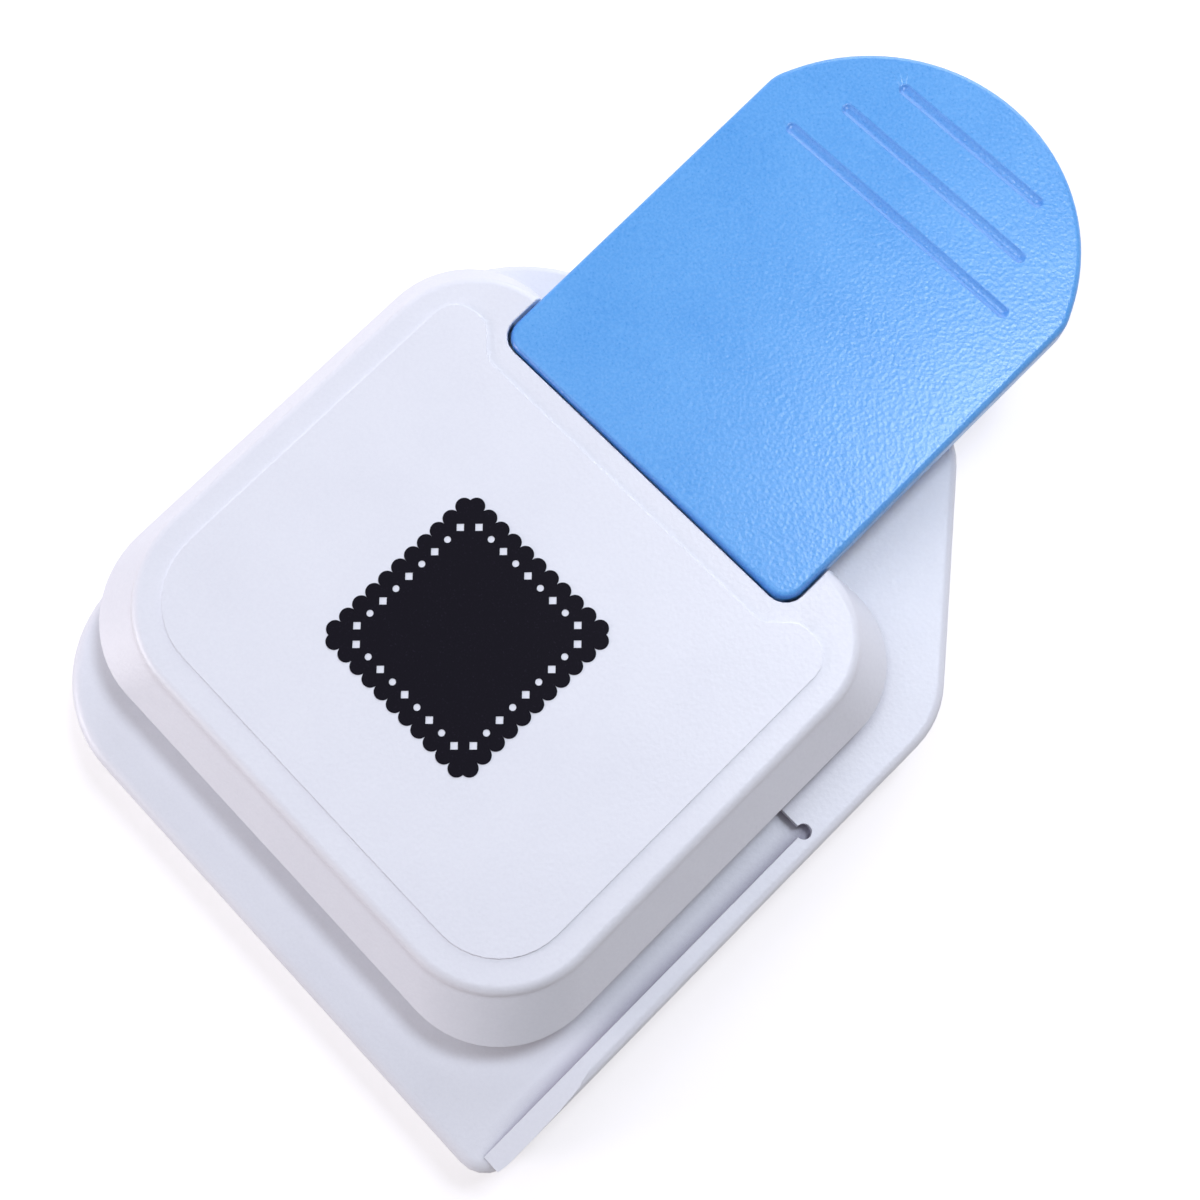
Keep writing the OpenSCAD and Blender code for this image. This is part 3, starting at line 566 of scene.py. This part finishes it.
@dataclass(frozen=True)
class CrossScrew:
    """Flat-headed screw with a cross recess, head down."""

    head_r_mm: float
    head_t_mm: float
    shank_r_mm: float
    length_mm: float
    recess_mm: float = 0.55
    recess_span: float = 0.62
    recess_taper: float = 0.8
    arm_offset_mm: float = 0.1
    rim_steps: int = 24

    def add(self, bm: bmesh.types.BMesh, place: Vector) -> None:
        """Adds the screw with its head's face at a place.

        Args:
            bm: Mesh to add to.
            place: Middle of the head's lower face in row coordinates.
        """
        one = bmesh.new()
        bmesh.ops.create_grid(one, x_segments=3, y_segments=3,
                              size=self.head_r_mm * self.recess_span * MM)
        off_arm = self.arm_offset_mm * MM
        corners = [f for f in one.faces if all(abs(c) > off_arm for c in f.calc_center_median().xy)]
        bmesh.ops.delete(one, geom=corners, context="FACES")
        cross = list(one.faces)
        rim = bmesh.ops.create_circle(one, segments=self.rim_steps, radius=self.head_r_mm * MM)["verts"]
        outer = list({e for v in rim for e in v.link_edges})
        inner = [e for e in one.edges if e.is_boundary and e not in outer]
        bmesh.ops.bridge_loops(one, edges=outer + inner)
        sunk = bmesh.ops.extrude_face_region(one, geom=cross)
        floor = [v for v in sunk["geom"] if isinstance(v, bmesh.types.BMVert)]
        bmesh.ops.delete(one, geom=cross, context="FACES")
        bmesh.ops.translate(one, verts=floor, vec=(0, 0, self.recess_mm * MM))
        bmesh.ops.scale(one, verts=floor, vec=(self.recess_taper, self.recess_taper, 1.0))
        self.draw_shank(one, outer)
        bmesh.ops.recalc_face_normals(one, faces=one.faces)
        bmesh.ops.translate(one, verts=one.verts, vec=place)
        mesh = bpy.data.meshes.new("screw")
        one.to_mesh(mesh)
        one.free()
        bm.from_mesh(mesh)
        bpy.data.meshes.remove(mesh)

    def draw_shank(self, one: bmesh.types.BMesh, outer: list[bmesh.types.BMEdge]) -> None:
        """Draws the head's side and the shank up from the rim.

        Args:
            one: Mesh of the single screw.
            outer: Edges of the head's rim.
        """
        edges = outer
        shank = self.shank_r_mm / self.head_r_mm
        rises = ((self.head_t_mm, 1.0), (0.0, shank), (self.length_mm - self.head_t_mm, 1.0))
        for rise, narrow in rises:
            step = bmesh.ops.extrude_edge_only(one, edges=edges)["geom"]
            verts = [v for v in step if isinstance(v, bmesh.types.BMVert)]
            edges = [e for e in step if isinstance(e, bmesh.types.BMEdge)]
            bmesh.ops.translate(one, verts=verts, vec=(0, 0, rise * MM))
            bmesh.ops.scale(one, verts=verts, vec=(narrow, narrow, 1.0))
        bmesh.ops.holes_fill(one, edges=edges)


@dataclass
class Assembly(ABC):
    """A sub-assembly: the pieces that it builds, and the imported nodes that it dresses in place."""

    packed: ClassVar[dict[str, Slot]] = {}
    pieces: list[tuple[bpy.types.Object, Slot]] = field(default_factory=list, init=False)

    @abstractmethod
    def build(self) -> None:
        """Makes the new pieces."""

    def dress(self, finishes: Finishes) -> None:
        """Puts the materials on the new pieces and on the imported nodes.

        Args:
            finishes: Maker of the materials.
        """
        for piece, slot in self.pieces:
            finishes.put(piece, slot)
        for node, slot in self.packed.items():
            finishes.put_node(node, slot)


@dataclass
class Base(Assembly):
    """Base moulding with the paper table, deck with fence, bottom plate, feet and screws."""

    packed: ClassVar[dict[str, Slot]] = {"bottom_plate": Slot.SHELL}
    floor_mm: float = 1.5
    lower_edge: Softening = Softening(low_mm=1.49, high_mm=1.51, width_mm=0.5)
    deck_edges: Softening = Softening(low_mm=16.2, high_mm=19.02, width_mm=0.25)
    foot_steps: int = 40
    foot_at_mm: tuple[tuple[float, float], ...] = (
        (-44, -46), (57, -57), (-44, 30), (57, 30), (-14, 56), (20, 73))
    foot_profile_mm: tuple[tuple[float, float], ...] = (
        (0, 0.3), (1.4, 0.3), (1.8, 0), (2.9, 0), (3.3, 0.3), (3.9, 0.3), (4.3, 0), (5.2, 0), (5.75, 0.2),
        (6, 0.7), (6, 1.48), (0, 1.48))
    screw_at_mm: tuple[tuple[float, float], ...] = (
        (-47, -55), (57, -42), (4, -56), (-40, 46), (54, 44), (9.5, 74))
    screw: CrossScrew = CrossScrew(head_r_mm=2.2, head_t_mm=0.8, shank_r_mm=1.1, length_mm=8.5)

    def build(self) -> None:
        """Makes the base moulding, the deck, the ringed feet and the screws."""
        shell = new_piece("base_moulding", refined("base_shell", (self.lower_edge,)), Body.BASE)
        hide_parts("base_shell")
        deck = new_piece("deck_moulding", refined("rear_deck", (self.deck_edges,)), Body.BASE)
        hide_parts("rear_deck")
        self.pieces = [(shell, Slot.SHELL), (deck, Slot.SHELL), (self.feet(), Slot.RUBBER),
                       (self.screws(), Slot.STEEL)]

    def feet(self) -> bpy.types.Object:
        """Makes the feet.

        Returns:
            All feet as one piece, each with two rings that grip the table.
        """
        bm = bmesh.new()
        for x, y in self.foot_at_mm:
            spun(bm, self.foot_profile_mm, row_mm(x, y), self.foot_steps)
        feet = new_piece("ringed_feet", bm, Body.BASE)
        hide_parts("rubber_feet")
        return feet

    def screws(self) -> bpy.types.Object:
        """Makes the screws of the bottom plate.

        Returns:
            All screws as one piece.
        """
        bm = bmesh.new()
        for x, y in self.screw_at_mm:
            self.screw.add(bm, row_mm(x, y, self.floor_mm))
        screws = new_piece("plate_screws", bm, Body.BASE)
        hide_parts("bottom_screws")
        return screws


@dataclass
class Head(Assembly):
    """Head moulding on its tray, with the raised panel and the printed mark."""

    packed: ClassVar[dict[str, Slot]] = {
        "head_tray": Slot.SHELL, "printed_mark": Slot.INK, "head_screws": Slot.STEEL,
        "tray_screws": Slot.STEEL}
    lip: Softening = Softening(low_mm=24.49, high_mm=24.51, width_mm=0.5)
    notch: Softening = Softening(low_mm=33.79, high_mm=33.81, width_mm=0.35)
    panel: Softening = Softening(low_mm=34.24, high_mm=34.26, width_mm=0.4)

    def build(self) -> None:
        """Makes the head moulding."""
        shell = new_piece("head_moulding", refined("head_shell", (self.lip, self.notch, self.panel)),
                          Body.BASE)
        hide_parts("head_shell")
        self.pieces = [(shell, Slot.SHELL)]


@dataclass
class Lever(Assembly):
    """Lever handle over its steel fork, with presser bar, bushes and screws."""

    packed: ClassVar[dict[str, Slot]] = {
        "lever_fork": Slot.STEEL, "fork_bushes": Slot.BUSH, "presser_bar": Slot.DARK,
        "lever_screws": Slot.DARK}

    def build(self) -> None:
        """Makes the lever handle."""
        handle = new_piece("lever_grip", refined("lever_handle"), Body.LEVER)
        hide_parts("lever_handle")
        self.pieces = [(handle, Slot.LEVER)]


@dataclass
class CuttingSet(Assembly):
    """Die, guide, punches, carriage, posts, springs and fulcrum: the steel inside the punch."""

    packed: ClassVar[dict[str, Slot]] = {
        **dict.fromkeys(("die_plate", "guide_plate", "guide_posts", "petal_punches", "eyelet_punches",
                         "bead_punches", "fulcrum_brackets", "fulcrum_pin"), Slot.STEEL),
        **dict.fromkeys(("die_screws", "guide_screws", "post_clips", "punch_carriage", "bracket_rivets",
                         "fulcrum_clips"), Slot.DARK),
        "carriage_bushes": Slot.BUSH}
    wire_r_mm: float = 0.5
    wire_sides: int = 12
    turns: int = 4
    turn_steps: int = 28
    stroke_mm: float = 2.81

    def build(self) -> None:
        """Makes the two return springs; the other solids stay as they are."""
        self.pieces = [(self.spring(side), Slot.STEEL) for side in ("left", "right")]

    def spring(self, side: str) -> bpy.types.Object:
        """Winds one return spring round its post.

        Args:
            side: "left" or "right".

        Returns:
            The spring, wound round its post.
        """
        node = f"return_spring_{side}"
        low, high = (Vector(corner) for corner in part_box(node))
        axis = Vector(((low.x + high.x) / 2, (low.y + high.y) / 2, 0.0))
        wire = self.wire_r_mm * MM
        start = axis + Vector(((high.x - low.x) / 2 - wire, 0.0, low.z + wire))
        steps = self.turns * self.turn_steps
        rise = (high.z - low.z - 2 * wire) / steps
        bm = bmesh.new()
        bmesh.ops.create_circle(bm, segments=self.wire_sides, radius=wire,
                                matrix=Matrix.Translation(start) @ Matrix.Rotation(math.pi / 2, 4, "X"))
        bmesh.ops.spin(bm, geom=list(bm.verts) + list(bm.edges), cent=axis, axis=(0, 0, 1),
                       dvec=(0, 0, rise), angle=2 * math.pi * self.turns, steps=steps)
        bmesh.ops.holes_fill(bm, edges=[e for e in bm.edges if e.is_boundary])
        bmesh.ops.recalc_face_normals(bm, faces=bm.faces)
        spring = new_piece(f"wound_spring_{side}", bm, Body.BASE)
        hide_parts(node)
        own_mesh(spring)
        return spring


def seen_directly(tree: bpy.types.NodeTree) -> bpy.types.NodeSocket:
    """Tells the rays that show a surface from those that light the object.

    Args:
        tree: Node tree of a material or the world.

    Returns:
        A socket that is 1 for camera, glossy and transmission rays.
    """
    path = add_node(tree, "ShaderNodeLightPath")
    seen = path.outputs["Is Camera Ray"]
    for kind in ("Is Glossy Ray", "Is Transmission Ray"):
        either = add_node(tree, "ShaderNodeMath", {0: seen, 1: path.outputs[kind]}, operation="MAXIMUM")
        seen = either.outputs[0]
    return seen


@dataclass(frozen=True)
class Lamp:
    """A square soft lamp: its power in watts, place and side in metres, and colour."""

    name: str
    watts: float
    place: tuple[float, float, float]
    side: float
    colour: str
    aim: tuple[float, float, float] = (0.0, 0.0, 0.02)

    def build(self) -> None:
        """Adds the lamp, facing the punch."""
        data = bpy.data.lights.new(self.name, "AREA")
        data.energy = self.watts
        data.size = self.side
        data.color = linear(self.colour)[:3]
        lamp = bpy.data.objects.new(self.name, data)
        lamp.location = self.place
        beam = Vector(self.aim) - Vector(self.place)
        lamp.rotation_euler = beam.to_track_quat("-Z", "Y").to_euler()
        bpy.context.scene.collection.objects.link(lamp)


@dataclass
class Studio:
    """Pale floor, soft lamps and the camera of the photograph's view."""

    floor_colour: str = "#d2cdcf"
    floor_roughness: float = 0.9
    floor_ior: float = 1.3
    floor_glow: float = 0.55
    floor_half: float = 6.0
    floor_gap: float = 0.00005
    shadow_reach: float = 0.25
    white_reach: float = 0.8
    world_strength: float = 0.1
    world_colour: str = "#fff4f8"
    lamps: tuple[Lamp, ...] = (
        Lamp("overhead", watts=3.1, place=(-0.4, -0.3, 1.05), side=0.7, colour="#eef3ff"),
        Lamp("glare", watts=1.9, place=(0.05, 0.22, 0.61), side=0.14, colour="#e9f2ff"),
        Lamp("key", watts=6.6, place=(-0.66, -0.96, 0.26), side=0.45, colour="#fff7fb"),
        Lamp("rear", watts=7.6, place=(-0.46, 0.96, 0.46), side=0.9, colour="#f3f5ff"),
        Lamp("side", watts=0.7, place=(0.9, 0.1, 0.36), side=0.5, colour="#fff3e6"))
    sensor_mm: float = 36.0
    clip_start: float = 0.01
    focal_px: float = 1512.6
    frame_px: float = 1200.0
    azimuth_deg: float = 58.05
    elevation_deg: float = 77.43
    roll_deg: float = -12.87
    distance: float = 0.2608
    target: tuple[float, float, float] = (0.00764, -0.01601, 0.0338)

    def build(self) -> None:
        """Makes floor, lamps, world and camera."""
        self.add_floor()
        for lamp in self.lamps:
            lamp.build()
        self.add_world()
        self.add_camera()

    def add_floor(self) -> None:
        """Adds a pale floor just under the feet."""
        bm = bmesh.new()
        bmesh.ops.create_grid(bm, x_segments=1, y_segments=1, size=self.floor_half,
                              matrix=Matrix.Translation((0.0, 0.0, -self.floor_gap)))
        mesh = bpy.data.meshes.new("floor")
        bm.to_mesh(mesh)
        bm.free()
        floor = bpy.data.objects.new("floor", mesh)
        bpy.context.scene.collection.objects.link(floor)
        material, tree, place = new_material("floor_paper")
        away = add_node(tree, "ShaderNodeVectorMath", {0: place}, operation="LENGTH")
        white = add_node(tree, "ShaderNodeMapRange", {
            "Value": away.outputs["Value"], "From Min": self.shadow_reach, "From Max": self.white_reach,
            "To Min": self.floor_glow, "To Max": 1.0})
        glow = add_node(tree, "ShaderNodeMath", {
            0: seen_directly(tree), 1: white.outputs[0]}, operation="MULTIPLY")
        shader = add_node(tree, "ShaderNodeBsdfPrincipled", {
            "Base Color": linear(self.floor_colour), "Roughness": self.floor_roughness, "IOR": self.floor_ior,
            "Emission Color": linear(WHITE), "Emission Strength": glow.outputs[0]})
        add_node(tree, "ShaderNodeOutputMaterial", {"Surface": shader.outputs[0]})
        mesh.materials.append(material)

    def add_world(self) -> None:
        """Adds an even, dim, warm surround that shows as white."""
        world = bpy.data.worlds.new("studio")
        world.use_nodes = True
        tree = world.node_tree
        tree.nodes.clear()
        light = add_node(tree, "ShaderNodeBackground", {
            "Color": linear(self.world_colour), "Strength": self.world_strength})
        white = add_node(tree, "ShaderNodeBackground", {"Color": linear(WHITE), "Strength": 1.0})
        both = add_node(tree, "ShaderNodeMixShader", {
            0: seen_directly(tree), 1: light.outputs[0], 2: white.outputs[0]})
        add_node(tree, "ShaderNodeOutputWorld", {"Surface": both.outputs[0]})
        bpy.context.scene.world = world

    def add_camera(self) -> None:
        """Adds the camera: turned about the head, tipped almost overhead and rolled."""
        a, e, r = (math.radians(v) for v in (self.azimuth_deg, self.elevation_deg, self.roll_deg))
        back = Vector((math.sin(a) * math.cos(e), -math.cos(a) * math.cos(e), math.sin(e)))
        right = Vector((math.cos(a), math.sin(a), 0.0))
        up = back.cross(right)
        across = right * math.cos(r) + up * math.sin(r)
        upright = up * math.cos(r) - right * math.sin(r)
        turned = Matrix((across, upright, back)).transposed().to_4x4()
        data = bpy.data.cameras.new("camera")
        data.sensor_fit = "HORIZONTAL"
        data.sensor_width = self.sensor_mm
        data.lens = self.sensor_mm * self.focal_px / self.frame_px
        data.clip_start = self.clip_start
        camera = bpy.data.objects.new("camera", data)
        camera.matrix_world = Matrix.Translation(Vector(self.target) + back * self.distance) @ turned
        bpy.context.scene.collection.objects.link(camera)
        bpy.context.scene.camera = camera


def main() -> None:
    """Builds and dresses each sub-assembly, then the studio."""
    logging.basicConfig(level=logging.INFO, format="%(name)s: %(message)s")
    bpy.context.scene.view_settings.view_transform = "Standard"
    finishes = Finishes()
    for assembly in (Base(), Head(), Lever(), CuttingSet()):
        assembly.build()
        assembly.dress(finishes)
    Studio().build()


if __name__ == "__main__":
    main()
